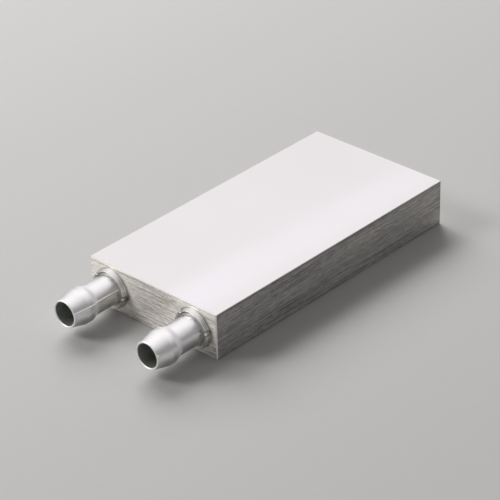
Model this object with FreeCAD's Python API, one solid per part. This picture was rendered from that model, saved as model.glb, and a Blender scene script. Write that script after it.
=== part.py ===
"""A liquid cold plate: a flat aluminium block that coolant flows through, with two hose nozzles on one end.

How the real thing is made, and how this file builds it:

- body_extrusion: one length of extruded bar with four channels side by side. Small teeth on the
  channel floors and roofs give the coolant more surface. A cutter has opened the ribs near the ends,
  so the coolant runs the block's length four times on its way from the inlet to the outlet.
- nozzle_end_plug and far_end_plug: plates let into the bar's two mouths, butted against the ribs.
- nozzle_end_weld and far_end_weld: the weld run round each plug, ground flush with the end.
- inlet_nozzle and outlet_nozzle: thin-walled hose nozzles with a barb near the tip. Each passes
  through the plug and opens into an outer channel.
- inlet_collar and outlet_collar: the ring seated on the end face round each nozzle, with a groove
  next to the tube and the marks of the punch that staked it.
- inlet_braze and outlet_braze: the filler run in that groove.

Frame: millimetres, +Z up. The origin is the centre of the block's underside. +X runs along the block,
away from the nozzles; +Y is across it. Every distance called "out" is measured from the nozzle end
face towards a nozzle's tip, along -X.
"""

import FreeCAD
import Part

import math
import os

# ---------------------------------------------------------------- block
BODY_LENGTH = 80.0
BODY_WIDTH = 40.0
BODY_HEIGHT = 12.0
EDGE_RADIUS = 0.3  # long edges, as extruded
END_CHAMFER = 0.25  # edges round both ends, as deburred

# ---------------------------------------------------------------- channels inside the extrusion
CHANNEL_COUNT = 4
SIDE_WALL = 3.2
RIB_THICKNESS = 1.5
TEETH_PER_FACE = 3  # on the floor and on the roof of each channel
TOOTH_HEIGHT = 1.2
TOOTH_ROOT = 0.9
TOOTH_TIP = 0.6
TURN_LENGTH = 8.0  # how far a rib is cut back where the coolant turns

# ---------------------------------------------------------------- end plugs and their welds
NOZZLE_PLUG_THICKNESS = 5.0
FAR_PLUG_THICKNESS = 4.0
PLUG_LEDGE = 1.2  # how far a plug laps the walls round the channels
PLUG_CORNER_RADIUS = 1.5
PLUG_GAP = 0.03  # clearance between a plug and its mouth
WELD_LEG = 0.6  # depth of the weld, and its width on either piece
END_RIM = 0.7  # metal left above and below the weld on an end face

# ---------------------------------------------------------------- nozzles
BORE_DIAMETER = 6.0
NECK_WALL = 0.8
BARB_HEIGHT = 0.65  # how far the barb's land stands above the neck
NECK_LENGTH = 8.25  # end face to the foot of the barb
BARB_HEEL = 0.85  # length of the slope from the neck up to the land
BARB_LAND = 2.1
BARB_CONE = 3.98  # length of the cone from the land to the tip's chamfer
HEEL_FILLET = 0.5
LAND_ROUNDING = 0.8
TIP_CHAMFER = 0.12  # outer edge of the tip
TIP_FLAT = 0.18  # the tip's flat rim, between its two chamfers
BORE_CHAMFER = 0.2  # inner edge of the tip
NOZZLE_GAP = 0.02  # clearance between a nozzle and the holes it passes through

# ---------------------------------------------------------------- collars and their filler
COLLAR_HEIGHT = 1.5
COLLAR_SHOULDER = 0.9  # height at which the collar's side turns in towards its rim
SHOULDER_INSET = 0.17
SHOULDER_ROUNDING = 0.7
COLLAR_TAPER = 0.4  # how much the rim's radius is smaller than the foot's
RIM_WIDTH = 0.2
GROOVE_WIDTH = 0.73  # at the rim; the groove's floor is half as wide
GROOVE_DEPTH = 0.45
FILLER_RISE = 0.35  # how far the filler climbs the tube above the groove's floor
STAKE_DIAMETER = 0.7
STAKE_DEPTH = 0.25
STAKE_ANGLES = {"inlet": (40.0, 190.0), "outlet": (50.0, 170.0)}  # degrees from +Y towards +Z

# ---------------------------------------------------------------- worked out from the sizes above
NOZZLE_END = -BODY_LENGTH / 2
FAR_END = BODY_LENGTH / 2
MID_HEIGHT = BODY_HEIGHT / 2
FACE_WALL = END_RIM + WELD_LEG + PLUG_LEDGE  # above and below the channels
CHANNEL_SPAN = BODY_WIDTH - 2 * SIDE_WALL
CHANNEL_HEIGHT = BODY_HEIGHT - 2 * FACE_WALL
CHANNEL_WIDTH = (CHANNEL_SPAN - (CHANNEL_COUNT - 1) * RIB_THICKNESS) / CHANNEL_COUNT
CHANNEL_PITCH = CHANNEL_WIDTH + RIB_THICKNESS
CHANNEL_START = NOZZLE_END + NOZZLE_PLUG_THICKNESS
CHANNEL_END = FAR_END - FAR_PLUG_THICKNESS
MOUTH_WIDTH = CHANNEL_SPAN + 2 * PLUG_LEDGE
MOUTH_HEIGHT = CHANNEL_HEIGHT + 2 * PLUG_LEDGE
NOZZLE_Y = CHANNEL_PITCH * (CHANNEL_COUNT - 1) / 2  # a nozzle feeds each outermost channel
SIDES = {"inlet": NOZZLE_Y, "outlet": -NOZZLE_Y}
BORE_RADIUS = BORE_DIAMETER / 2
NECK_RADIUS = BORE_RADIUS + NECK_WALL
LAND_RADIUS = NECK_RADIUS + BARB_HEIGHT
TIP_RADIUS = BORE_RADIUS + BORE_CHAMFER + TIP_FLAT + TIP_CHAMFER
HOLE_RADIUS = NECK_RADIUS + NOZZLE_GAP
LAND_START = NECK_LENGTH + BARB_HEEL
NOZZLE_REACH = LAND_START + BARB_LAND + BARB_CONE + TIP_CHAMFER
RIM_INNER_RADIUS = HOLE_RADIUS + GROOVE_WIDTH
RIM_OUTER_RADIUS = RIM_INNER_RADIUS + RIM_WIDTH
COLLAR_FOOT_RADIUS = RIM_OUTER_RADIUS + COLLAR_TAPER
GROOVE_FLOOR = COLLAR_HEIGHT - GROOVE_DEPTH
GROOVE_FLOOR_RADIUS = HOLE_RADIUS + GROOVE_WIDTH / 2


# ---------------------------------------------------------------- outlines
def rounded_outline(x, width, height, radius):
    """A closed wire in the plane X = x: a rounded rectangle about the block's long centre line."""
    y, z = width / 2 - radius, height / 2 - radius
    arcs = []
    for quarter, (y_sign, z_sign) in enumerate([(1, 1), (-1, 1), (-1, -1), (1, -1)]):
        points = []
        for angle in (90 * quarter, 90 * quarter + 45, 90 * quarter + 90):
            across = y_sign * y + radius * math.cos(math.radians(angle))
            up = z_sign * z + radius * math.sin(math.radians(angle))
            points.append(FreeCAD.Vector(x, across, MID_HEIGHT + up))
        arcs.append(points)
    edges = []
    for points, following in zip(arcs, arcs[1:] + arcs[:1]):
        edges.append(Part.Arc(*points).toShape())
        edges.append(Part.LineSegment(points[-1], following[0]).toShape())
    return Part.Wire(edges)


def corner_points(before, corner, after, radius):
    """Where a rounded corner starts, its middle and where it ends; a sharp corner is just its own point."""
    if radius == 0:
        return [corner]
    to_before = (before - corner).normalize()
    to_after = (after - corner).normalize()
    half_angle = to_before.getAngle(to_after) / 2
    setback = radius / math.tan(half_angle)
    middle = (to_before + to_after).normalize()
    centre = corner + middle * (radius / math.sin(half_angle))
    return [corner + to_before * setback, centre - middle * radius, corner + to_after * setback]


def rounded_polygon(corners):
    """A closed wire through (point, rounding radius) corners."""
    points = [point for point, radius in corners]
    rounded = []
    for index, (point, radius) in enumerate(corners):
        following = points[(index + 1) % len(points)]
        rounded.append(corner_points(points[index - 1], point, following, radius))
    edges = []
    for arc, following in zip(rounded, rounded[1:] + rounded[:1]):
        if len(arc) == 3:
            edges.append(Part.Arc(*arc).toShape())
        edges.append(Part.LineSegment(arc[-1], following[0]).toShape())
    return Part.Wire(edges)


def on_profile(y, out, radius):
    """A point of a turned piece's profile, in the upright plane through a nozzle's axis."""
    return FreeCAD.Vector(NOZZLE_END - out, y, MID_HEIGHT + radius)


def turned(y, profile):
    """A turned piece on a nozzle's axis, from (out, radius, rounding radius) corners."""
    outline = rounded_polygon([(on_profile(y, out, r), rounding) for out, r, rounding in profile])
    return Part.Face(outline).revolve(on_profile(y, 0, 0), FreeCAD.Vector(-1, 0, 0), 360)


# ---------------------------------------------------------------- the block
def bar(x_from, x_to, width, height, radius):
    """A straight bar along X with a rounded rectangular section."""
    face = Part.Face(rounded_outline(x_from, width, height, radius))
    return face.extrude(FreeCAD.Vector(x_to - x_from, 0, 0))


def tapered(x_from, x_to, sizes_from, sizes_to):
    """A short bar whose rounded section changes evenly from one (width, height, radius) to another."""
    ends = [rounded_outline(x_from, *sizes_from), rounded_outline(x_to, *sizes_to)]
    return Part.makeLoft(ends, True, True)


def outer_block():
    """The block's outside: long edges rounded, end edges chamfered."""
    full = (BODY_WIDTH, BODY_HEIGHT, EDGE_RADIUS)
    small = (BODY_WIDTH - 2 * END_CHAMFER, BODY_HEIGHT - 2 * END_CHAMFER, EDGE_RADIUS)
    block = bar(NOZZLE_END + END_CHAMFER, FAR_END - END_CHAMFER, *full)
    near = tapered(NOZZLE_END, NOZZLE_END + END_CHAMFER, small, full)
    far = tapered(FAR_END, FAR_END - END_CHAMFER, small, full)
    return block.fuse([near, far]).removeSplitter()


def channel_y(index):
    """Middle of a channel across the block; channel 0 is the inlet's, on the +Y side."""
    return NOZZLE_Y - index * CHANNEL_PITCH


def toothed_floor():
    """The (across, up) points of a channel's floor, from its -Y wall to its +Y wall."""
    low = -CHANNEL_HEIGHT / 2
    tooth_pitch = CHANNEL_WIDTH / (TEETH_PER_FACE + 1)
    points = [(-CHANNEL_WIDTH / 2, low)]
    for tooth in range(TEETH_PER_FACE):
        middle = (tooth + 1) * tooth_pitch - CHANNEL_WIDTH / 2
        points.append((middle - TOOTH_ROOT / 2, low))
        points.append((middle - TOOTH_TIP / 2, low + TOOTH_HEIGHT))
        points.append((middle + TOOTH_TIP / 2, low + TOOTH_HEIGHT))
        points.append((middle + TOOTH_ROOT / 2, low))
    points.append((CHANNEL_WIDTH / 2, low))
    return points


def channel_space(index):
    """The empty space of one toothed channel, along the whole block. Its roof mirrors its floor."""
    floor = toothed_floor()
    roof = [(-across, -up) for across, up in floor]
    y = channel_y(index)
    points = [FreeCAD.Vector(NOZZLE_END, y + across, MID_HEIGHT + up) for across, up in floor + roof]
    section = Part.Face(Part.makePolygon(points + points[:1]))
    return section.extrude(FreeCAD.Vector(BODY_LENGTH, 0, 0))


def turn_space(index):
    """The pocket that joins a channel to the next one, at the end where the coolant turns.

    The coolant leaves the inlet's channel at the far end, so even channels turn there and odd ones
    turn at the nozzle end.
    """
    start = CHANNEL_END - TURN_LENGTH if index % 2 == 0 else CHANNEL_START
    low_corner = FreeCAD.Vector(start, channel_y(index + 1) - CHANNEL_WIDTH / 2, FACE_WALL)
    return Part.makeBox(TURN_LENGTH, CHANNEL_PITCH + CHANNEL_WIDTH, CHANNEL_HEIGHT, low_corner)


def weld_mouth(end, inward):
    """The bevelled edge of a mouth: as wide as the weld at the end face, as the mouth itself at its root."""
    face = (MOUTH_WIDTH + 2 * WELD_LEG, MOUTH_HEIGHT + 2 * WELD_LEG, PLUG_CORNER_RADIUS + WELD_LEG)
    root = (MOUTH_WIDTH, MOUTH_HEIGHT, PLUG_CORNER_RADIUS)
    return tapered(end, end + inward * WELD_LEG, face, root)


def nozzle_hole(y):
    """The hole drilled for a nozzle, as deep as the plug is thick."""
    start = FreeCAD.Vector(NOZZLE_END, y, MID_HEIGHT)
    return Part.makeCylinder(HOLE_RADIUS, NOZZLE_PLUG_THICKNESS, start, FreeCAD.Vector(1, 0, 0))


def drilled(shape):
    """A piece of the nozzle end with both nozzle holes drilled out of it."""
    for y in SIDES.values():
        shape = shape.cut(nozzle_hole(y))
    return shape


def body_extrusion():
    """The toothed bar with its turn pockets, plug mouths and weld bevels."""
    spaces = [channel_space(index) for index in range(CHANNEL_COUNT)]
    spaces += [turn_space(index) for index in range(CHANNEL_COUNT - 1)]
    spaces.append(bar(NOZZLE_END, CHANNEL_START, MOUTH_WIDTH, MOUTH_HEIGHT, PLUG_CORNER_RADIUS))
    spaces.append(bar(CHANNEL_END, FAR_END, MOUTH_WIDTH, MOUTH_HEIGHT, PLUG_CORNER_RADIUS))
    spaces.append(weld_mouth(NOZZLE_END, 1))
    spaces.append(weld_mouth(FAR_END, -1))
    body = outer_block()
    for space in spaces:
        body = body.cut(space)
    return drilled(body).removeSplitter()


# ---------------------------------------------------------------- plugs and welds
def plug_sizes():
    """A plug's (width, height, corner radius): its mouth's, less the clearance all round."""
    return (MOUTH_WIDTH - 2 * PLUG_GAP, MOUTH_HEIGHT - 2 * PLUG_GAP, PLUG_CORNER_RADIUS - PLUG_GAP)


def plug_bevel(end, inward):
    """The outer slice of a plug, narrower at the end face to make room for the weld."""
    width, height, radius = plug_sizes()
    face = (width - 2 * WELD_LEG, height - 2 * WELD_LEG, radius - WELD_LEG)
    return tapered(end, end + inward * WELD_LEG, face, (width, height, radius))


def plug(end, inward, thickness):
    """A whole plug, before any drilling."""
    inner = bar(end + inward * WELD_LEG, end + inward * thickness, *plug_sizes())
    return plug_bevel(end, inward).fuse(inner).removeSplitter()


def weld(end, inward):
    """The filler between a mouth's bevel and its plug's."""
    return weld_mouth(end, inward).cut(plug_bevel(end, inward))


# ---------------------------------------------------------------- nozzles, collars and filler
def nozzle(y):
    """A hose nozzle, from the inner face of the plug to its tip."""
    inner_end = -NOZZLE_PLUG_THICKNESS
    profile = [
        (inner_end, BORE_RADIUS, 0),
        (inner_end, NECK_RADIUS, 0),
        (NECK_LENGTH, NECK_RADIUS, HEEL_FILLET),
        (LAND_START, LAND_RADIUS, LAND_ROUNDING),
        (LAND_START + BARB_LAND, LAND_RADIUS, LAND_ROUNDING),
        (NOZZLE_REACH - TIP_CHAMFER, TIP_RADIUS, 0),
        (NOZZLE_REACH, TIP_RADIUS - TIP_CHAMFER, 0),
        (NOZZLE_REACH, BORE_RADIUS + BORE_CHAMFER, 0),
        (NOZZLE_REACH - BORE_CHAMFER, BORE_RADIUS, 0),
    ]
    return turned(y, profile)


def stake_mark(y, degrees):
    """The conical dent that one stroke of the punch leaves in a collar's rim."""
    radius = (RIM_INNER_RADIUS + RIM_OUTER_RADIUS) / 2
    across = radius * math.cos(math.radians(degrees))
    up = radius * math.sin(math.radians(degrees))
    mouth = FreeCAD.Vector(NOZZLE_END - COLLAR_HEIGHT, y + across, MID_HEIGHT + up)
    return Part.makeCone(STAKE_DIAMETER / 2, 0, STAKE_DEPTH, mouth, FreeCAD.Vector(1, 0, 0))


def collar(y, stake_angles):
    """The ring on the end face round a nozzle, with its groove and its punched marks."""
    profile = [
        (0, HOLE_RADIUS, 0),
        (0, COLLAR_FOOT_RADIUS, 0),
        (COLLAR_SHOULDER, COLLAR_FOOT_RADIUS - SHOULDER_INSET, SHOULDER_ROUNDING),
        (COLLAR_HEIGHT, RIM_OUTER_RADIUS, 0),
        (COLLAR_HEIGHT, RIM_INNER_RADIUS, 0),
        (GROOVE_FLOOR, GROOVE_FLOOR_RADIUS, 0),
        (GROOVE_FLOOR, HOLE_RADIUS, 0),
    ]
    ring = turned(y, profile)
    for degrees in stake_angles:
        ring = ring.cut(stake_mark(y, degrees))
    return ring


def braze(y):
    """The filler on a collar's groove floor: a fillet that climbs the tube."""
    profile = [
        (GROOVE_FLOOR, NECK_RADIUS, 0),
        (GROOVE_FLOOR, GROOVE_FLOOR_RADIUS, 0),
        (GROOVE_FLOOR + FILLER_RISE, NECK_RADIUS, 0),
    ]
    return turned(y, profile)


def build():
    """Every piece, by the name of its node."""
    pieces = {
        "body_extrusion": body_extrusion(),
        "nozzle_end_plug": drilled(plug(NOZZLE_END, 1, NOZZLE_PLUG_THICKNESS)),
        "nozzle_end_weld": drilled(weld(NOZZLE_END, 1)),
        "far_end_plug": plug(FAR_END, -1, FAR_PLUG_THICKNESS),
        "far_end_weld": weld(FAR_END, -1),
    }
    for name, y in SIDES.items():
        pieces[name + "_nozzle"] = nozzle(y)
        pieces[name + "_collar"] = collar(y, STAKE_ANGLES[name])
        pieces[name + "_braze"] = braze(y)
    return pieces


os.makedirs("parts", exist_ok=True)
for node, shape in build().items():
    shape.exportStep("parts/" + node + ".step")
    print(f"{node:16s} solids {len(shape.Solids)}  valid {shape.isValid()}  volume {shape.Volume:9.2f} mm3")
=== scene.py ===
# %% [markdown]
# # A liquid cold plate
#
# This is a flat aluminium block that coolant flows through. Two hose nozzles stand on one short end.
# The block is plain, so nearly all of its character is in the metal: a ground top, sides brushed along
# their length, ends brushed across, and nozzles drawn from bright thin tube.
#
# The packed model is the fixed frame. It gives the block and the place of everything else, and nothing
# in it is moved.

# %% Load the frame
import math

import bpy
import numpy as np
from mathutils import Matrix, Vector


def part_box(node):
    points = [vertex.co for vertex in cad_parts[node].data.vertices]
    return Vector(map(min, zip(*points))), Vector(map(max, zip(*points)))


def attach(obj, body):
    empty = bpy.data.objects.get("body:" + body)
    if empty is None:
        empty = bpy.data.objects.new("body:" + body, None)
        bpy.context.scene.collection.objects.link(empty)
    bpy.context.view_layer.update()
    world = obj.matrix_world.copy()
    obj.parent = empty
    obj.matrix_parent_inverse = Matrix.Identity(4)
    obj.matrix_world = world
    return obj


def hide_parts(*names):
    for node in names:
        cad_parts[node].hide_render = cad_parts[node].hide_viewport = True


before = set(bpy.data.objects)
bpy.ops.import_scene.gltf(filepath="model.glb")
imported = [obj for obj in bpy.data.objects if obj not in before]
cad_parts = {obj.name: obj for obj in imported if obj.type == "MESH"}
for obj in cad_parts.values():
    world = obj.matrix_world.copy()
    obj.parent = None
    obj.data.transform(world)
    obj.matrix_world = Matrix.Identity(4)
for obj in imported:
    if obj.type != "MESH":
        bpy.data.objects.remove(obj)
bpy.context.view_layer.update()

# %% [markdown]
# ## Places on the block
#
# The block's own box gives its end face, its top and its mid-height, and a nozzle's box gives its axis
# and its tip. Everything that follows is worked out from these. Lengths are in millimetres, because that
# is how a maker reads them, and a mesh is scaled to metres once, when it is made. A distance called
# "out" runs from the end face towards a nozzle's tip.

# %% Places taken from the frame
MM = 0.001


def box_mm(node):
    """A node's lowest and highest corner, in millimetres."""
    low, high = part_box(node)
    return np.array(low) / MM, np.array(high) / MM


block_low, block_high = box_mm("body_extrusion")
END_X = block_low[0]
TOP_Z = block_high[2]
MID_Z = (block_low[2] + block_high[2]) / 2
AXIS_Y = {}
for side in ("inlet", "outlet"):
    nozzle_low, nozzle_high = box_mm(side + "_nozzle")
    AXIS_Y[side] = (nozzle_low[1] + nozzle_high[1]) / 2
TIP_X = nozzle_low[0]
REACH = END_X - TIP_X
INNER_END = END_X - nozzle_high[0]
LAND_RADIUS = (nozzle_high[1] - nozzle_low[1]) / 2
print("nozzle axes at y", AXIS_Y, "reach", round(REACH, 2), "land radius", round(LAND_RADIUS, 3))

# %% [markdown]
# ## Turned surfaces
#
# A nozzle, its collar and the filler between them are all turned shapes, so one function makes them.
# It could be done with Blender's Screw modifier, but a formula lets us add relief to the surface as it
# turns: for each point of a closed profile (out, radius) and each angle a round the axis, the surface
# point is (end face - out, axis y + r cos a, mid-height + r sin a), where r is the radius plus a small
# relief that may depend on all three. Both directions of the grid close on themselves, so there is no
# seam and no pole.

# %% A closed profile with rounded corners
STEP = 0.22  # spacing of the points along a profile's straight stretches
ARC_POINTS = 8


def corner_arc(before, corner, after, rounding):
    """Points round one corner: an arc of the rounding radius that touches both of its sides."""
    if rounding == 0:
        return corner[None, :]
    to_before = (before - corner) / np.linalg.norm(before - corner)
    to_after = (after - corner) / np.linalg.norm(after - corner)
    half_angle = math.acos(np.clip(to_before @ to_after, -1, 1)) / 2
    bisector = (to_before + to_after) / np.linalg.norm(to_before + to_after)
    centre = corner + bisector * rounding / math.sin(half_angle)
    start = corner + to_before * rounding / math.tan(half_angle) - centre
    end = corner + to_after * rounding / math.tan(half_angle) - centre
    share = np.linspace(0, 1, ARC_POINTS)[:, None]
    sweep = math.pi - 2 * half_angle
    return centre + (np.sin((1 - share) * sweep) * start + np.sin(share * sweep) * end) / math.sin(sweep)


def rounded_profile(corners, step=STEP):
    """A closed loop of (out, radius) points through (out, radius, rounding) corners."""
    points = np.array([corner[:2] for corner in corners], float)
    arcs = []
    for index, corner in enumerate(corners):
        following = points[(index + 1) % len(points)]
        arcs.append(corner_arc(points[index - 1], points[index], following, corner[2]))
    loop = []
    for arc, following in zip(arcs, arcs[1:] + arcs[:1]):
        start, end = arc[-1], following[0]
        count = max(1, round(np.linalg.norm(end - start) / step))
        share = np.arange(1, count)[:, None] / count
        loop += [arc, start + share * (end - start)]
    return np.concatenate(loop)


rounded_square = rounded_profile([(0, 0, 0.1), (1, 0, 0.1), (1, 1, 0.1), (0, 1, 0.1)])
print("a unit square with rounded corners takes", len(rounded_square), "points")

# %% A turned mesh from a profile
AROUND = 400  # points in one turn


def enclosed_volume(points, quads):
    """The volume inside a closed mesh, positive when its faces point outwards."""
    a, b, c, d = (points[quads[:, corner]] for corner in range(4))
    return (np.einsum("ij,ij->i", a, np.cross(b, c)) + np.einsum("ij,ij->i", a, np.cross(c, d))).sum() / 6


def closed_grid(rows, columns):
    """The quads of a grid that closes on itself both ways: each joins a point to the next row and column."""
    row, column = np.meshgrid(np.arange(rows), np.arange(columns), indexing="ij")
    next_row, next_column = (row + 1) % rows, (column + 1) % columns
    corners = [row * columns + column, next_row * columns + column]
    corners += [next_row * columns + next_column, row * columns + next_column]
    return np.stack(corners, axis=-1).reshape(-1, 4)


def turned_piece(name, node, profile, relief):
    """Turns a closed profile about an axis: x = end - out, y = axis y + r cos a, z = middle + r sin a."""
    side = node.split("_")[0]
    angle = np.linspace(0, 2 * math.pi, AROUND, endpoint=False)
    out, turn = np.meshgrid(profile[:, 0], angle, indexing="ij")
    out, radius = relief(out, np.repeat(profile[:, 1:], AROUND, axis=1), turn)
    across, up = radius * np.cos(turn), radius * np.sin(turn)
    points = np.stack([END_X - out, AXIS_Y[side] + across, MID_Z + up], axis=-1).reshape(-1, 3)
    quads = closed_grid(len(profile), AROUND)
    if enclosed_volume(points, quads) < 0:
        quads = quads[:, ::-1]
    mesh = bpy.data.meshes.new(name)
    mesh.from_pydata(points * MM, [], quads.tolist())
    mesh.polygons.foreach_set("use_smooth", np.ones(len(quads), bool))
    piece = bpy.data.objects.new(name, mesh)
    bpy.context.collection.objects.link(piece)
    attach(piece, "root")
    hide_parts(node)
    print(f"{name}: {2 * len(quads)} triangles, {enclosed_volume(points, quads):.2f} cubic mm")
    return piece


print("a turned piece has", AROUND, "points in one turn")

# %% [markdown]
# ## The nozzles
#
# A hose nozzle is formed from thin tube. From the block outwards it has a plain neck, a slope up to a
# short land, a long cone down to the tip, and a thin lip round the bore. The slope and the lip are
# rounded a little more here than in the solid model, so that light runs softly over them. One nozzle
# shows the fine raised line that forming leaves down its side; the other has only a speck of burr on its
# lip. These are too small for the solid model and are added here as relief on the turned surface.

# %% The nozzle's profile
BORE_RADIUS = 3.0
NECK_RADIUS = 3.8
TIP_RADIUS = 3.5
NECK_LENGTH = 8.2
HEEL_LENGTH = 1.15
LAND_LENGTH = 1.85
LAND_START = NECK_LENGTH + HEEL_LENGTH
TIP_CHAMFER = 0.12
BORE_CHAMFER = 0.2
HEEL_ROUNDING = 2.2
LAND_ROUNDING = 0.8
LIP_ROUNDING = 0.2
SOFT_EDGE = 0.05

nozzle_profile = rounded_profile([
    (INNER_END, BORE_RADIUS, SOFT_EDGE),
    (INNER_END, NECK_RADIUS, SOFT_EDGE),
    (NECK_LENGTH, NECK_RADIUS, HEEL_ROUNDING),
    (LAND_START, LAND_RADIUS, HEEL_ROUNDING),
    (LAND_START + LAND_LENGTH, LAND_RADIUS, LAND_ROUNDING),
    (REACH - TIP_CHAMFER, TIP_RADIUS, LIP_ROUNDING),
    (REACH, TIP_RADIUS - TIP_CHAMFER, LIP_ROUNDING),
    (REACH, BORE_RADIUS + BORE_CHAMFER, LIP_ROUNDING),
    (REACH - BORE_CHAMFER, BORE_RADIUS, LIP_ROUNDING),
])
print("nozzle profile:", len(nozzle_profile), "points")

# %% The nozzles' marks
LIP_BLEND = 0.1  # how far past the bore's chamfer a mark takes to reach its full height
SEAM_ANGLE = math.radians(160)
SEAM_HALF_WIDTH = 0.13
SEAM_HEIGHT = 0.12
SEAM_WANDER = 0.006  # in radians
SEAM_WANDER_RATE = 0.9  # in radians per millimetre
BURR_ANGLE = math.radians(162)
BURR_HALF_WIDTH = 0.26
BURR_HALF_LENGTH = 0.28
BURR_HEIGHT = 0.24
BURR_FROM_TIP = 0.3


def bell(distance, half_width):
    """A smooth bump: 1 at no distance, and e to the minus (distance / half width) squared from there."""
    return np.exp(-((distance / half_width) ** 2))


def along_turn(turn, angle, radius):
    """Distance along the surface from a line at an angle, the short way round."""
    return radius * np.abs((turn - angle + math.pi) % (2 * math.pi) - math.pi)


def outside_share(radius):
    """0 in the bore, 1 on the outside, and a straight rise between them on the lip."""
    return np.clip((radius - BORE_RADIUS - BORE_CHAMFER) / LIP_BLEND, 0, 1)


def seam_relief(out, radius, turn):
    """The forming line: radius grows by a bell across it, on the outside only."""
    wander = SEAM_ANGLE + SEAM_WANDER * np.sin(out * SEAM_WANDER_RATE)
    line = bell(along_turn(turn, wander, radius), SEAM_HALF_WIDTH)
    return out, radius + SEAM_HEIGHT * outside_share(radius) * line


def burr_relief(out, radius, turn):
    """The burr: a bell round the lip, times a bell along the tube, on the outside only."""
    around = bell(along_turn(turn, BURR_ANGLE, radius), BURR_HALF_WIDTH)
    along = bell(REACH - out - BURR_FROM_TIP, BURR_HALF_LENGTH)
    return out, radius + BURR_HEIGHT * outside_share(radius) * around * along


nozzle_relief = {"inlet": seam_relief, "outlet": burr_relief}
nozzles = []
for side in AXIS_Y:
    nozzles.append(turned_piece(side + "_hose_nozzle", side + "_nozzle", nozzle_profile, nozzle_relief[side]))

# %% [markdown]
# ## The collars and their filler
#
# A ring stands round the foot of each nozzle, with a groove between it and the tube. A punch has closed
# it on the tube in two places, and each stroke left a dent with metal pushed up round it. In the groove
# lies a rough fillet of filler. The dents are bells pressed into the rim, and the pushed-up metal is a
# wider, lower bell, taken away from the dent so that it stands as a ridge. They are deeper than in the
# solid model, so that they can be seen at this size.

# %% The collar's profile
collar_low, collar_high = box_mm("inlet_collar")
COLLAR_HEIGHT = END_X - collar_low[0]
COLLAR_FOOT = (collar_high[1] - collar_low[1]) / 2
COLLAR_STEP = 0.08
NOZZLE_GAP = 0.02
HOLE_RADIUS = NECK_RADIUS + NOZZLE_GAP
SHOULDER_HEIGHT = 0.9
SHOULDER_INSET = 0.17
SHOULDER_ROUNDING = 0.7
RIM_WIDTH = 0.2
RIM_ROUNDING = 0.07
GROOVE_WIDTH = 0.73
GROOVE_DEPTH = 0.45
RIM_INNER = HOLE_RADIUS + GROOVE_WIDTH
RIM_OUTER = RIM_INNER + RIM_WIDTH
RIM_MIDDLE = (RIM_INNER + RIM_OUTER) / 2
GROOVE_FLOOR = COLLAR_HEIGHT - GROOVE_DEPTH
GROOVE_FLOOR_RADIUS = HOLE_RADIUS + GROOVE_WIDTH / 2

collar_profile = rounded_profile([
    (0, HOLE_RADIUS, 0),
    (0, COLLAR_FOOT, 0),
    (SHOULDER_HEIGHT, COLLAR_FOOT - SHOULDER_INSET, SHOULDER_ROUNDING),
    (COLLAR_HEIGHT, RIM_OUTER, RIM_ROUNDING),
    (COLLAR_HEIGHT, RIM_INNER, SOFT_EDGE),
    (GROOVE_FLOOR, GROOVE_FLOOR_RADIUS, SOFT_EDGE),
    (GROOVE_FLOOR, HOLE_RADIUS, 0),
], COLLAR_STEP)
print("collar foot radius", round(COLLAR_FOOT, 3), "height", round(COLLAR_HEIGHT, 3))

# %% The collars' dents
DENT_ANGLES = {"inlet": (40, 190), "outlet": (50, 170)}
DENT_HALF_WIDTH = 0.30
DENT_DEPTH = 0.55
RIDGE_HEIGHT = 0.32
RIDGE_SPREAD = 1.8  # the wide bell's half width, in dent half widths


def collar_relief(angles):
    """Dents at the given angles: the rim sinks by a narrow bell, and rises by what is left of a wide one."""

    def relief(out, radius, turn):
        raised = np.clip((out - GROOVE_FLOOR) / (COLLAR_HEIGHT - GROOVE_FLOOR), 0, 1)
        for degrees in angles:
            across = along_turn(turn, math.radians(degrees), RIM_MIDDLE)
            distance = np.hypot(across, radius - RIM_MIDDLE)
            dent = bell(distance, DENT_HALF_WIDTH)
            ridge = bell(distance, RIDGE_SPREAD * DENT_HALF_WIDTH) - dent
            out = out + raised * (RIDGE_HEIGHT * ridge - DENT_DEPTH * dent)
        return out, radius

    return relief


collars = []
for side in AXIS_Y:
    relief = collar_relief(DENT_ANGLES[side])
    collars.append(turned_piece(side + "_staked_collar", side + "_collar", collar_profile, relief))

# %% The filler in the groove
FILLER_RISE = 0.35
FILLER_EDGE = 0.03
SWELL_HEIGHT = 0.07
SWELLS = ((5, 0.7), (13, 2.1))  # how many swells in one turn, and where they start, in radians


def filler_relief(out, radius, turn):
    """A run of filler is never even: the mean of two sine waves round the ring swells and thins it."""
    swell = sum(np.sin(count * turn + start) for count, start in SWELLS) / len(SWELLS)
    free = np.clip((out - GROOVE_FLOOR) / FILLER_RISE, 0, 1)
    return out + SWELL_HEIGHT * free * swell, radius


filler_profile = rounded_profile([
    (GROOVE_FLOOR, NECK_RADIUS, 0),
    (GROOVE_FLOOR, GROOVE_FLOOR_RADIUS, FILLER_EDGE),
    (GROOVE_FLOOR + FILLER_RISE, NECK_RADIUS, FILLER_EDGE),
])
fillers = []
for side in AXIS_Y:
    fillers.append(turned_piece(side + "_groove_filler", side + "_braze", filler_profile, filler_relief))

# %% [markdown]
# ## Writing shader maths as plain expressions
#
# A metal finish is mostly arithmetic on noise. Wiring Math nodes by hand hides that arithmetic, so a
# small class wraps a socket and gives it the usual operators: 1 - mask or grain * 0.3 then adds the Math
# node by itself. Any other node comes from one method that takes its type, its settings and its values.

# %% A socket that can be added and multiplied


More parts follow.
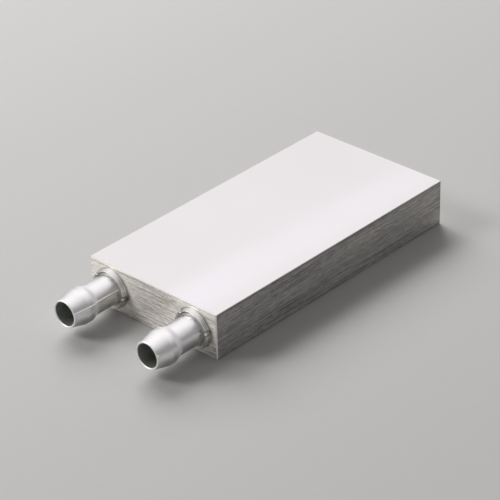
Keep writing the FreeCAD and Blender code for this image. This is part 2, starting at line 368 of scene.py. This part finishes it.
class Value:
    """A number, colour or vector that varies: the output socket of a node."""

    def __init__(self, nodes, socket):
        self.nodes = nodes
        self.socket = socket

    def maths(self, operation, *others):
        """Adds a Math node with this value first."""
        return self.nodes.add("ShaderNodeMath", {"operation": operation}, dict(enumerate([self, *others])))

    def __add__(self, other):
        return self.maths("ADD", other)

    def __radd__(self, other):
        return self.maths("ADD", other)

    def __sub__(self, other):
        return self.maths("SUBTRACT", other)

    def __rsub__(self, other):
        return self.nodes.add("ShaderNodeMath", {"operation": "SUBTRACT"}, {0: other, 1: self})

    def __mul__(self, other):
        return self.maths("MULTIPLY", other)

    def __rmul__(self, other):
        return self.maths("MULTIPLY", other)

    def size(self):
        """The value without its sign."""
        return self.maths("ABSOLUTE")

    def at_least(self, least):
        """The larger of the two."""
        return self.maths("MAXIMUM", least)

    def at_most(self, most):
        """The smaller of the two."""
        return self.maths("MINIMUM", most)

    def ramp(self, low, high):
        """0 up to low, 1 from high, and a smooth rise between them. low may be the larger, for a fall."""
        settings = {"interpolation_type": "SMOOTHSTEP"}
        values = {"Value": self, "From Min": low, "From Max": high}
        return self.nodes.add("ShaderNodeMapRange", settings, values)


print("a value can be:", ", ".join(name for name in vars(Value) if not name.startswith("__")))

# %% A tree of nodes


class Nodes:
    """A node tree that is being built up."""

    def __init__(self, tree):
        self.tree = tree

    def add(self, kind, settings=None, values=None, output=0):
        """Adds a node: settings first, then a value or a link for each named or numbered socket."""
        made = self.tree.nodes.new(kind)
        for name, setting in (settings or {}).items():
            setattr(made, name, setting)
        for name, value in (values or {}).items():
            self.connect(value, made.inputs[name])
        return Value(self, made.outputs[output])

    def connect(self, value, socket):
        """Links a varying value to a socket, or sets a constant one."""
        if isinstance(value, Value):
            self.tree.links.new(value.socket, socket)
        else:
            socket.default_value = value

    def vector(self, operation, *values, output=0, **named):
        """Adds a Vector Math node."""
        sockets = {**dict(enumerate(values)), **named}
        return self.add("ShaderNodeVectorMath", {"operation": operation}, sockets, output)

    def part(self, vector, axis):
        """One component of a vector."""
        return self.add("ShaderNodeSeparateXYZ", None, {0: vector}, axis)


print("a tree can:", ", ".join(name for name in vars(Nodes) if not name.startswith("__")))

# %% A finish on a surface


class Finish(Nodes):
    """A material being built: its node tree, its shader, and a place on the surface in millimetres."""

    def __init__(self, name):
        self.material = bpy.data.materials.new(name)
        self.material.use_nodes = True
        super().__init__(self.material.node_tree)
        self.shader = self.tree.nodes["Principled BSDF"]
        self.place = self.vector("SCALE", self.add("ShaderNodeTexCoord", output="Object"), Scale=1 / MM)
        self.x, self.y, self.z = (self.part(self.place, axis) for axis in "XYZ")

    def noise(self, stretch, detail=3.0, offset=(0, 0, 0)):
        """Noise from 0 to 1. It has the given number of cycles per millimetre along each axis."""
        moved = self.vector("ADD", self.place, offset)
        scaled = self.vector("MULTIPLY", moved, stretch)
        values = {"Vector": scaled, "Scale": 1.0, "Detail": detail, "Roughness": 0.6}
        return self.add("ShaderNodeTexNoise", None, values, "Fac")

    def blend(self, first, second, factor):
        """The first colour where factor is 0 and the second where it is 1."""
        values = {"Factor": factor, "A": self.colour(first), "B": self.colour(second)}
        made = self.tree.nodes.new("ShaderNodeMix")
        made.data_type = "RGBA"
        for socket in made.inputs:
            if socket.enabled and socket.name in values:
                self.connect(values[socket.name], socket)
        return Value(self, next(s for s in made.outputs if s.enabled))

    def colour(self, colour):
        """A colour given as three numbers, or one already made by nodes."""
        return colour if isinstance(colour, Value) else (*colour, 1.0)

    def tint(self, colour, amount):
        """A colour made lighter or darker by a varying amount."""
        return self.vector("SCALE", colour, Scale=amount)

    def bump(self, height, distance_mm):
        """Turns a height from 0 to 1 into a surface normal."""
        values = {"Height": height, "Distance": distance_mm * MM, "Strength": 1.0}
        return self.add("ShaderNodeBump", None, values)

    def fill(self, shader, values):
        """Sets a shader's sockets; an underscore stands for the space in a socket's name."""
        for name, value in values.items():
            self.connect(value, shader.inputs[name.replace("_", " ")])

    def set(self, **values):
        """Sets the sockets of the material's own shader."""
        self.fill(self.shader, values)
        return self.material

    def cover(self, share, **values):
        """Mixes a second shader over the first: none of it where share is 0, only it where share is 1."""
        second = self.tree.nodes.new("ShaderNodeBsdfPrincipled")
        self.fill(second, values)
        shaders = [Value(self, shader.outputs[0]) for shader in (self.shader, second)]
        mixed = self.add("ShaderNodeMixShader", None, dict(enumerate([share, *shaders])))
        self.tree.links.new(mixed.socket, self.tree.nodes["Material Output"].inputs["Surface"])
        return self.material


def dress(piece, material):
    """Gives a piece one material all over."""
    piece.data.materials.clear()
    piece.data.materials.append(material)
    print(piece.name, "wears", material.name, "of", len(material.node_tree.nodes), "nodes")


print("a finish can:", ", ".join(name for name in vars(Finish) if not name.startswith("__")))

# %% [markdown]
# ## The block's aluminium
#
# One bar of metal carries three finishes. The wide faces are ground smooth and mirror the light above
# them softly; a slanting band on them and their end towards the nozzles are painted a little brighter,
# as a painted sheen. The long sides keep the lines of a brush drawn along them, and their colour is
# painted darker, as painted shade; the ends keep the lines of one drawn across them. Fine lines spread a
# reflection across themselves, which an anisotropic shader does; the ground faces and the deburred edges
# have no such lines, so a second, even shader covers the first one there. Welding has left a pale straw
# tint near the nozzles, and painted light brightens the same patches.
#
# The way the surface faces picks the finish, and its place picks the tint, so plugs and welds that lie
# flush with the bar take exactly the same lines, and no joint shows. In every tint below, the first
# number is the darkest tone, and each pattern adds up to the number it is multiplied by.

# %% Brush lines
LONG_LINES = (0.03, 3.6)  # cycles per millimetre along the lines, and across them
FINE_LINES = (0.06, 6.5)
SCRATCHES = (0.60, 5.2)


def brush_lines(finish, along, across):
    """Lines left by a brush, from 0 to 1: the sum of three noises, all drawn out along one axis."""

    def lines(rates, offset=(0, 0, 0)):
        return finish.noise([rates[0] * a + rates[1] * b for a, b in zip(along, across)], 1.0, offset)

    total = lines(LONG_LINES) + lines(FINE_LINES, (5, 2, 9)) + lines(SCRATCHES, (3, 7, 4))
    return total.ramp(1.10, 1.90)


def nozzle_distance(finish):
    """Distance from the nearer nozzle's axis: the two axes lie at the same y, once its sign is dropped."""
    across = finish.y.size() - abs(AXIS_Y["inlet"])
    up = finish.z - MID_Z
    return (across * across + up * up).maths("SQRT")


print("brush lines, in cycles per mm along and across:", LONG_LINES, FINE_LINES, SCRATCHES)

# %% The three faces of the block
BRUSHED_SIDE_PAINTED_SHADE = (0.46, 0.445, 0.43)
PAINTED_CORNER_SHADE = (0.16, 0.165, 0.18)
SHADE_FADE = (1.1, 0.35)  # how far under the top the side starts to darken, and where it is darkest
BRUSHED_END = (0.90, 0.86, 0.80)
STRAW = (0.84, 0.79, 0.68)
STRAW_AND_GLOW_FADE = (10.5, 4.5)  # distances from a nozzle's axis where the straw tint and the painted glow start and are full
STRAW_AND_GLOW_DEPTH = 3.0  # how far the tint and the glow run in from the end face
GROUND = (0.81, 0.785, 0.79)
GROUND_PAINTED_SHEEN = (0.862, 0.838, 0.874)
SHEEN_BAND_Y = 12.0
SHEEN_BAND_SLANT = 0.03
SHEEN_BAND_FADE = (10.0, 1.0)  # distances from the band's middle where it starts and is full


def brushed_side_with_painted_shade(finish, lines, grain):
    """A long side, its colour painted darker as shade, and painted darker still along its upper edge."""
    # Painted shade: the side's colour stands for the shadowed floor it mirrors, and a bluish band under the
    # top edge for the shade along the corner.
    side = finish.tint(BRUSHED_SIDE_PAINTED_SHADE, 0.44 + lines * 0.74 + grain * 0.20)
    shaded = finish.z.ramp(*(TOP_Z - depth for depth in SHADE_FADE))
    return finish.blend(side, PAINTED_CORNER_SHADE, shaded * 0.5)


def brushed_end(finish, lines, grain):
    """An end, straw-tinted and brightened with painted light in patches near the nozzles."""
    patchy = finish.noise((1.0, 0.16, 0.55), 3.0, (0, 11, 5)).ramp(0.30, 0.60)
    at_end = finish.x.ramp(END_X + STRAW_AND_GLOW_DEPTH, END_X)
    straw_and_painted_glow = nozzle_distance(finish).ramp(*STRAW_AND_GLOW_FADE) * at_end * patchy
    # Painted light: the end is brightened near the nozzles, standing for light thrown back onto it off the
    # nozzles.
    tone = (0.46 + lines * 0.90 + grain * 0.24) * (0.85 + straw_and_painted_glow * 0.24)
    return finish.blend(finish.tint(BRUSHED_END, tone), STRAW, straw_and_painted_glow * 0.50)


def ground_face(finish, cloud):
    """A wide face with a painted sheen: a slightly slanting band, and the end towards the nozzles, painted
    brighter.
    """
    from_band = (finish.y + SHEEN_BAND_Y + finish.x * SHEEN_BAND_SLANT).size()
    # Painted sheen: a bluish band and a brightening towards the nozzles stand for reflected light.
    painted_sheen = from_band.ramp(*SHEEN_BAND_FADE) * (0.78 - finish.x * 0.006)
    return finish.tint(finish.blend(GROUND, GROUND_PAINTED_SHEEN, painted_sheen), 0.96 + cloud * 0.07)


# The band printed here is the painted sheen.
print("the belt's last pass lies at y", -SHEEN_BAND_Y, "and is", 2 * SHEEN_BAND_FADE[0], "mm wide")

# %% The block's material
EDGE_METAL = (0.97, 0.97, 0.97)
FACE_FADE = (0.6, 0.9)  # the normal's part along an axis where a face's finish starts and is full
EDGE_FADE = (0.80, 0.96)  # the normal's largest part: on an edge, and on a flat face
BRUSH_SPREAD = 0.85
ACROSS_THE_LINES = 0.25  # in turns
LINE_DEPTH = 0.010
GRAIN_DEPTH = 0.0007


def block_finish():
    """Brushed sides and ends under one shader; ground faces, and edges worn bare with a painted highlight,
    under another.
    """
    finish = Finish("block_aluminium")
    normal = finish.add("ShaderNodeNewGeometry", output="True Normal")
    facing = [finish.part(normal, axis).size() for axis in "XYZ"]
    on_end, on_wide_face = facing[0].ramp(*FACE_FADE), facing[2].ramp(*FACE_FADE)
    edge = 1 - facing[0].at_least(facing[1]).at_least(facing[2]).ramp(*EDGE_FADE)
    side_lines = brush_lines(finish, (1, 0, 0), (0, 1, 1))
    end_lines = brush_lines(finish, (0, 1, 0), (1, 0, 1))
    grain = finish.noise((3.0, 6.0, 6.0), 2.0).ramp(0.35, 0.65)
    cloud = finish.noise((0.035, 0.05, 0.05), 2.0, (7, 3, 1))
    side, end = brushed_side_with_painted_shade(finish, side_lines, grain), brushed_end(finish, end_lines, grain)
    mixed = {"Factor": on_end, "A": side_lines, "B": end_lines}
    lines = finish.add("ShaderNodeMix", {"data_type": "FLOAT"}, mixed)
    finish.set(
        Base_Color=finish.blend(side, end, on_end),
        Roughness=0.42 + cloud * 0.05,
        Metallic=1.0,
        Anisotropic=BRUSH_SPREAD,
        Anisotropic_Rotation=ACROSS_THE_LINES,
        Normal=finish.bump(lines, LINE_DEPTH),
    )
    # Worn edges and painted highlight: the upright edges are made near-white, the upward-facing ones hardly
    # at all.
    worn_edge_and_highlight = edge * (1 - facing[2] * 0.9) * 0.9
    return finish.cover(
        on_wide_face.at_least(edge),
        Base_Color=finish.blend(ground_face(finish, cloud), EDGE_METAL, worn_edge_and_highlight),
        Roughness=0.20 + cloud * 0.05 + edge * 0.55,
        Metallic=1.0,
        Normal=finish.bump(grain, GRAIN_DEPTH),
    )


block_metal = block_finish()
for node in ("body_extrusion", "nozzle_end_plug", "far_end_plug", "nozzle_end_weld", "far_end_weld"):
    dress(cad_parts[node], block_metal)

# %% [markdown]
# ## The nozzles' aluminium
#
# Drawn tube is brighter than the brushed block and has almost no grain: only faint rings from turning
# and a few lines along the draw. Forming roughens it a little where it bends up to the land and where it
# turns in at the lip, and both places are also painted lighter, as a painted highlight. The bore is never
# polished, and looks dull and dark.

# %% Nozzle finish
BRIGHT_TUBE = (0.88, 0.875, 0.88)
DULL_BORE = (0.56, 0.585, 0.54)
HEEL_MIDDLE_X = END_X - NECK_LENGTH - HEEL_LENGTH / 2
HEEL_FADE = (1.3, 0.6)  # distances from the heel's middle where its roughness and painted highlight start and are full
LIP_FADE = (0.28, 0.12)  # the same for the lip, measured in from the tip
BORE_FADE_IN = (0.15, 0.40)  # the same for the bore's dull metal, measured in from the tip
BORE_FADE_OUT = (0.16, 0.04)  # and measured outwards from the bore's wall
TUBE_MARK_DEPTH = 0.012


def nozzle_finish():
    """Bright drawn tube outside, dull inside its bore, rougher and painted lighter on its heel and its lip.
    """
    finish = Finish("nozzle_aluminium")
    past_lip = finish.x.ramp(*(TIP_X + reach for reach in BORE_FADE_IN))
    in_bore = nozzle_distance(finish).ramp(*(BORE_RADIUS + reach for reach in BORE_FADE_OUT)) * past_lip
    rough_and_lit_lip = finish.x.ramp(*(TIP_X + reach for reach in LIP_FADE))
    rough_and_lit_heel = (finish.x - HEEL_MIDDLE_X).size().ramp(*HEEL_FADE)
    rings = finish.noise((7.0, 0.15, 0.15), 2.0)
    draws = finish.noise((0.12, 3.0, 3.0), 3.0)
    smears = finish.noise((0.25, 0.4, 0.4), 3.0, (4, 4, 9))
    # Painted highlight: the lip and the heel are made lighter, besides rougher.
    tone = 0.78 + draws * 0.16 + rings * 0.12 + smears * 0.10 + rough_and_lit_lip * 0.14 + rough_and_lit_heel * 0.10
    return finish.set(
        Base_Color=finish.blend(finish.tint(BRIGHT_TUBE, tone), DULL_BORE, in_bore),
        Roughness=0.24 + smears * 0.14 + in_bore * 0.2 + rough_and_lit_heel * 0.42 + rough_and_lit_lip * 0.25,
        Metallic=1.0,
        Normal=finish.bump(rings * 0.5 + draws * 0.5, TUBE_MARK_DEPTH),
    )


nozzle_metal = nozzle_finish()
for piece in nozzles:
    dress(piece, nozzle_metal)

# %% [markdown]
# ## The collars' and the filler's aluminium
#
# A collar was turned, then hit with a punch, so it has concentric lines and a dent at each stroke. Each
# dent is given bright, fresh metal that is also a painted glint, inside a ring of painted shade. The dents
# lie at other angles on the other collar, so each collar has a material of its own. The filler froze as it
# ran, and is duller and lumpier; its colour is painted darker, as shade in its groove.

# %% Collar finish
TURNED = (0.88, 0.87, 0.85)
STRUCK_AND_GLINT = (0.98, 0.975, 0.96)
STRUCK_AND_GLINT_FADE = (0.46, 0.26)  # distances from a dent where the fresh metal and its painted glint start and are full
DENT_SHADE_FADE = (1.05, 0.60)  # the same for the ring of painted shade
TURNING_DEPTH = 0.03


def dent_distance(finish, side):
    """Distance from the nearer of a collar's two dents."""
    distances = []
    for degrees in DENT_ANGLES[side]:
        angle = math.radians(degrees)
        across = finish.y - (AXIS_Y[side] + RIM_MIDDLE * math.cos(angle))
        up = finish.z - (MID_Z + RIM_MIDDLE * math.sin(angle))
        distances.append((across * across + up * up).maths("SQRT"))
    return distances[0].at_most(distances[1])


def turning_lines(finish):
    """Concentric lines, from 0 to 1: noise that varies mostly with the distance from the axis."""
    place = {0: finish.x * 3.2, 1: nozzle_distance(finish) * 5.4, 2: finish.z * 0.12}
    rings = finish.add("ShaderNodeCombineXYZ", None, place)
    values = {"Vector": rings, "Scale": 1.0, "Detail": 4.0}
    return finish.add("ShaderNodeTexNoise", None, values, "Fac").ramp(0.32, 0.68)


def collar_finish(side):
    """Turned metal, with fresh metal and a painted glint inside each dent, and a ring of painted shade round
    it.
    """
    finish = Finish(side + "_collar_aluminium")
    lines = turning_lines(finish)
    patches = finish.noise((0.8, 0.8, 0.8), 3.0)
    from_dent = dent_distance(finish, side)
    # Painted glint and painted shade: each dent is bright and rough so that it catches light from everywhere,
    # with a darker ring round it.
    struck_and_glint = from_dent.ramp(*STRUCK_AND_GLINT_FADE)
    painted_dent_shade = from_dent.ramp(*DENT_SHADE_FADE)
    turned = finish.tint(TURNED, (0.44 + lines * 0.72) * (1 - painted_dent_shade * 0.55))
    return finish.set(
        Base_Color=finish.blend(turned, STRUCK_AND_GLINT, struck_and_glint),
        Roughness=0.30 + patches * 0.16 + struck_and_glint * 0.45,
        Metallic=1.0,
        Normal=finish.bump(lines, TURNING_DEPTH),
    )


for side, piece in zip(AXIS_Y, collars):
    dress(piece, collar_finish(side))

# %% Filler finish
SHADED_FILLER_COLOUR = (0.60, 0.58, 0.55)
LUMP_DEPTH = 0.06


def filler_finish():
    """Metal that froze as it ran: soft lumps, a duller face, and a colour painted darker as shade in its
    groove.
    """
    finish = Finish("filler_aluminium")
    lumps = finish.noise((2.2, 2.2, 2.2), 3.0)
    return finish.set(
        # Painted shade: the filler's colour is darker for the shade in the groove.
        Base_Color=finish.tint(SHADED_FILLER_COLOUR, 0.75 + lumps * 0.4),
        Roughness=0.50 + lumps * 0.15,
        Metallic=1.0,
        Normal=finish.bump(lumps, LUMP_DEPTH),
    )


filler_metal = filler_finish()
for piece in fillers:
    dress(piece, filler_metal)

# %% [markdown]
# ## Floor, light and camera
#
# Polished metal shows its surroundings more than its own colour, so the room is most of the look. The
# floor is plain and pale. A wide soft lamp stands high behind the block and throws its shadow towards
# the viewer, which is what keeps the long side dark. It isn't mirrored, because in satin metal it would
# leave a hard white patch. A smaller lamp at the upper left is mirrored: it gives the end face its even
# light and the collars their bright side.
#
# The rest of what the metal mirrors is the sky, which is brightest in one soft region overhead and fades
# from there with the cosine of the angle, as a wide lamp's glow does. As a source of light the sky
# counts for only about a quarter of what is seen of it, so that the lamps still shape the block.

# %% Floor
FLOOR_SIZE = 6.0
FLOOR_GAP = 0.00005
FLOOR_COLOUR = (0.60, 0.595, 0.585)


def make_floor():
    """A wide square just under the block."""
    half = FLOOR_SIZE / 2
    corners = [(-half, -half, 0), (half, -half, 0), (half, half, 0), (-half, half, 0)]
    mesh = bpy.data.meshes.new("floor")
    mesh.from_pydata(corners, [], [(0, 1, 2, 3)])
    floor = bpy.data.objects.new("floor", mesh)
    floor.location.z = block_low[2] * MM - FLOOR_GAP
    bpy.context.collection.objects.link(floor)
    finish = Finish("floor_card")
    speckle = finish.noise((0.4, 0.4, 0.4), 3.0)
    dress(floor, finish.set(Base_Color=finish.tint(FLOOR_COLOUR, 0.985 + speckle * 0.03), Roughness=0.65))


make_floor()

# %% Lamps
CENTRE = Vector((0, 0, MID_Z * MM))


def soft_lamp(name, azimuth, elevation, distance, width, height, radiance, mirrored):
    """A rectangular lamp aimed at the block. Its power is pi x area x the radiance of its face."""
    turn, rise = math.radians(azimuth), math.radians(elevation)
    level = math.cos(rise)
    direction = Vector((level * math.cos(turn), level * math.sin(turn), math.sin(rise)))
    data = bpy.data.lights.new(name, "AREA")
    data.shape = "RECTANGLE"
    data.size, data.size_y = width, height
    data.energy = math.pi * width * height * radiance
    lamp = bpy.data.objects.new(name, data)
    lamp.location = CENTRE + direction * distance
    lamp.rotation_euler = (-direction).to_track_quat("-Z", "Y").to_euler()
    lamp.visible_glossy = mirrored
    bpy.context.collection.objects.link(lamp)
    print(f"{name}: {data.energy:.2f} watts")


soft_lamp(
    "back_softbox", azimuth=64, elevation=38, distance=1.0,
    width=0.7, height=0.6, radiance=6.4, mirrored=False,
)
soft_lamp(
    "left_softbox", azimuth=135, elevation=38, distance=0.8,
    width=0.3, height=0.3, radiance=7.5, mirrored=True,
)

# %% Sky
SKY_COLOUR = (1.0, 0.985, 0.99, 1.0)
SKY_BRIGHTEST = (0.36, 0.30, 0.883)  # the direction of its brightest point
SKY_GAIN = 1.24
SKY_LEAST = 0.30
SKY_FOR_LIGHT = 0.26


def make_sky():
    """Brightness is the cosine of the angle from the brightest point, times a gain, with a lower limit."""
    world = bpy.data.worlds.new("studio")
    world.use_nodes = True
    bpy.context.scene.world = world
    sky = Nodes(world.node_tree)
    direction = sky.add("ShaderNodeTexCoord", output="Generated")
    glow = sky.vector("DOT_PRODUCT", direction, SKY_BRIGHTEST, output="Value") * SKY_GAIN
    seen = sky.add("ShaderNodeLightPath", output="Is Camera Ray")
    for ray in ("Is Glossy Ray", "Is Transmission Ray"):
        seen = seen.at_least(sky.add("ShaderNodeLightPath", output=ray))
    share = SKY_FOR_LIGHT + seen * (1 - SKY_FOR_LIGHT)
    background = world.node_tree.nodes["Background"]
    background.inputs["Color"].default_value = SKY_COLOUR
    sky.connect(glow.at_least(SKY_LEAST) * share, background.inputs["Strength"])
    print("sky:", SKY_GAIN, "at its brightest,", SKY_LEAST, "at its least")


make_sky()

# %% Camera
AIM = Vector((-6.98, 0.16, 6.0)) * MM
DISTANCE = 0.5557
AZIMUTH = math.radians(46.72)
ELEVATION = math.radians(30.97)
ROLL = math.radians(-1.54)
LENS = 169.0
SENSOR_WIDTH = 36.0


def make_camera():
    """A long lens looks down at the nozzle end, from an azimuth and an elevation round the aim point."""
    level = math.cos(ELEVATION)
    ahead = Vector((math.sin(AZIMUTH) * level, math.cos(AZIMUTH) * level, -math.sin(ELEVATION)))
    data = bpy.data.cameras.new("camera")
    data.lens = LENS
    data.sensor_width = SENSOR_WIDTH
    camera = bpy.data.objects.new("camera", data)
    turn = ahead.to_track_quat("-Z", "Y").to_matrix().to_4x4() @ Matrix.Rotation(ROLL, 4, "Z")
    camera.matrix_world = Matrix.Translation(AIM - ahead * DISTANCE) @ turn
    bpy.context.collection.objects.link(camera)
    bpy.context.scene.camera = camera
    print("camera:", round(DISTANCE / MM), "mm from its aim point, lens", LENS)


make_camera()
bpy.context.scene.view_settings.view_transform = "Standard"
